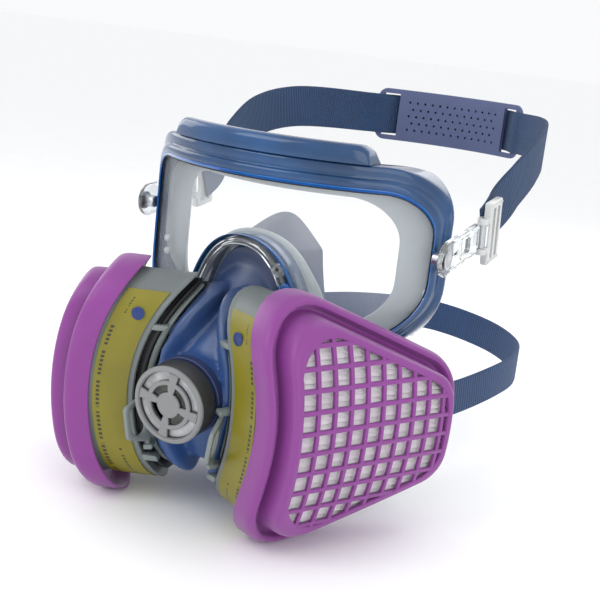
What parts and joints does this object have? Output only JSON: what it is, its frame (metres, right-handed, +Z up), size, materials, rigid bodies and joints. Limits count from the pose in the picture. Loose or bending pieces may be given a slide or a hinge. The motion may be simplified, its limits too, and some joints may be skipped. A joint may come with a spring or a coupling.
{
  "type": "full-face respirator",
  "caption": "Goggle and rubber half mask in one piece, with arched side cartridges, a front exhalation valve, a head strap with back pad and a neck strap.",
  "frame": {"origin": "middle of the face opening, where the face of the wearer holds the mask", "axes": "+Z up, -Y forward, +X towards the left hand of the wearer"},
  "size_m": [0.206, 0.32, 0.1927],
  "materials": {
    "frame_blue": "translucent tint",
    "clear_lens": "clear",
    "clear_rim": "clear moulding",
    "skirt_grey": "soft satin",
    "mask_blue": "satin",
    "cap_grey": "satin",
    "flap_silicone": "soft",
    "collar_navy": "satin",
    "pad_blue": "matt",
    "webbing": "ribbed knit",
    "cover_magenta": "satin",
    "filter_media": "pleated",
    "housing_grey": "satin",
    "carbon": "granular",
    "label_olive": "printed film",
    "gasket_black": "matt",
    "plate_grey": "satin",
    "clear_arm": "clear moulding",
    "pin_steel": "brushed",
    "buckle_grey": "smooth"
  },
  "bodies": {
    "mask_and_goggle": {"goggle_frame": "frame_blue", "goggle_lens": "clear_lens", "nose_bridge_rim": "clear_rim", "brow_vent_cover": "frame_blue", "goggle_skirt": "skirt_grey", "half_mask_shell": "mask_blue", "valve_clamp_ring": "collar_navy", "exhalation_valve_seat": "cap_grey", "port_plate_left": "plate_grey", "port_plate_right": "plate_grey", "inhalation_seat_left": "plate_grey", "inhalation_seat_right": "plate_grey", "neck_strap_lug_left": "collar_navy", "neck_strap_lug_right": "collar_navy"},
    "exhalation_cap": {"exhalation_valve_cap": "cap_grey"},
    "exhalation_flap": {"exhalation_valve_flap": "flap_silicone"},
    "cartridge_left": {"filter_cover_left": "cover_magenta", "pleated_filter_left": "filter_media", "cartridge_housing_left": "housing_grey", "carbon_bed_left": "carbon", "cartridge_label_left": "label_olive", "cartridge_gasket_left": "gasket_black"},
    "latch_left": {"latch_clip_left": "plate_grey"},
    "intake_flap_left": {"inhalation_flap_left": "flap_silicone"},
    "buckle_left": {"strap_buckle_left": "buckle_grey"},
    "cartridge_right": {"filter_cover_right": "cover_magenta", "pleated_filter_right": "filter_media", "cartridge_housing_right": "housing_grey", "carbon_bed_right": "carbon", "cartridge_label_right": "label_olive", "cartridge_gasket_right": "gasket_black"},
    "latch_right": {"latch_clip_right": "plate_grey"},
    "intake_flap_right": {"inhalation_flap_right": "flap_silicone"},
    "buckle_right": {"strap_buckle_right": "buckle_grey"},
    "head_harness": {"strap_arm_left": "clear_arm", "strap_arm_right": "clear_arm", "arm_pin_left": "pin_steel", "arm_pin_right": "pin_steel", "buckle_pin_left": "pin_steel", "buckle_pin_right": "pin_steel", "head_strap": "webbing", "back_pad": "pad_blue"},
    "neck_loop": {"neck_strap": "webbing"}
  },
  "joints": [
    {"name": "exhalation_cap_pull", "type": "slide", "parent": "mask_and_goggle", "child": "exhalation_cap", "axis": [0, -0.9945, -0.1045], "range_m": [0, 0.013]},
    {"name": "exhalation_flap_lift", "type": "slide", "parent": "mask_and_goggle", "child": "exhalation_flap", "axis": [0, -0.9945, -0.1045], "range_m": [0, 0.002], "stiffness_N_per_m": 20},
    {"name": "cartridge_pull_left", "type": "slide", "parent": "mask_and_goggle", "child": "cartridge_left", "axis": [0.9063, -0.4226, 0], "range_m": [0, 0.03]},
    {"name": "latch_swing_left", "type": "hinge", "parent": "mask_and_goggle", "child": "latch_left", "pos_m": [0.01922, -0.08659, -0.0665], "axis": [0.1588, -0.074, 0.9845], "range_deg": [-25, 0]},
    {"name": "intake_flap_lift_left", "type": "slide", "parent": "mask_and_goggle", "child": "intake_flap_left", "axis": [-0.9063, 0.4226, 0], "range_m": [0, 0.0016], "stiffness_N_per_m": 20},
    {"name": "buckle_tilt_left", "type": "hinge", "parent": "head_harness", "child": "buckle_left", "pos_m": [0.0851, 0.03745, 0.02404], "axis": [0, 0.1564, -0.9877], "range_deg": [0, 12]},
    {"name": "cartridge_pull_right", "type": "slide", "parent": "mask_and_goggle", "child": "cartridge_right", "axis": [-0.9063, -0.4226, 0], "range_m": [0, 0.03]},
    {"name": "latch_swing_right", "type": "hinge", "parent": "mask_and_goggle", "child": "latch_right", "pos_m": [-0.01922, -0.08659, -0.0665], "axis": [0.1588, 0.074, -0.9845], "range_deg": [-25, 0]},
    {"name": "intake_flap_lift_right", "type": "slide", "parent": "mask_and_goggle", "child": "intake_flap_right", "axis": [0.9063, 0.4226, 0], "range_m": [0, 0.0016], "stiffness_N_per_m": 20},
    {"name": "buckle_tilt_right", "type": "hinge", "parent": "head_harness", "child": "buckle_right", "pos_m": [-0.0851, 0.03745, 0.02404], "axis": [0, -0.1564, 0.9877], "range_deg": [0, 12]},
    {"name": "head_harness_swing", "type": "hinge", "parent": "mask_and_goggle", "child": "head_harness", "pos_m": [0, -0.007, 0.017], "axis": [1, 0, 0], "range_deg": [-20, 35]},
    {"name": "neck_strap_swing", "type": "hinge", "parent": "mask_and_goggle", "child": "neck_loop", "pos_m": [0, 0.008, -0.072], "axis": [1, 0, 0], "range_deg": [-15, 25]}
  ]
}
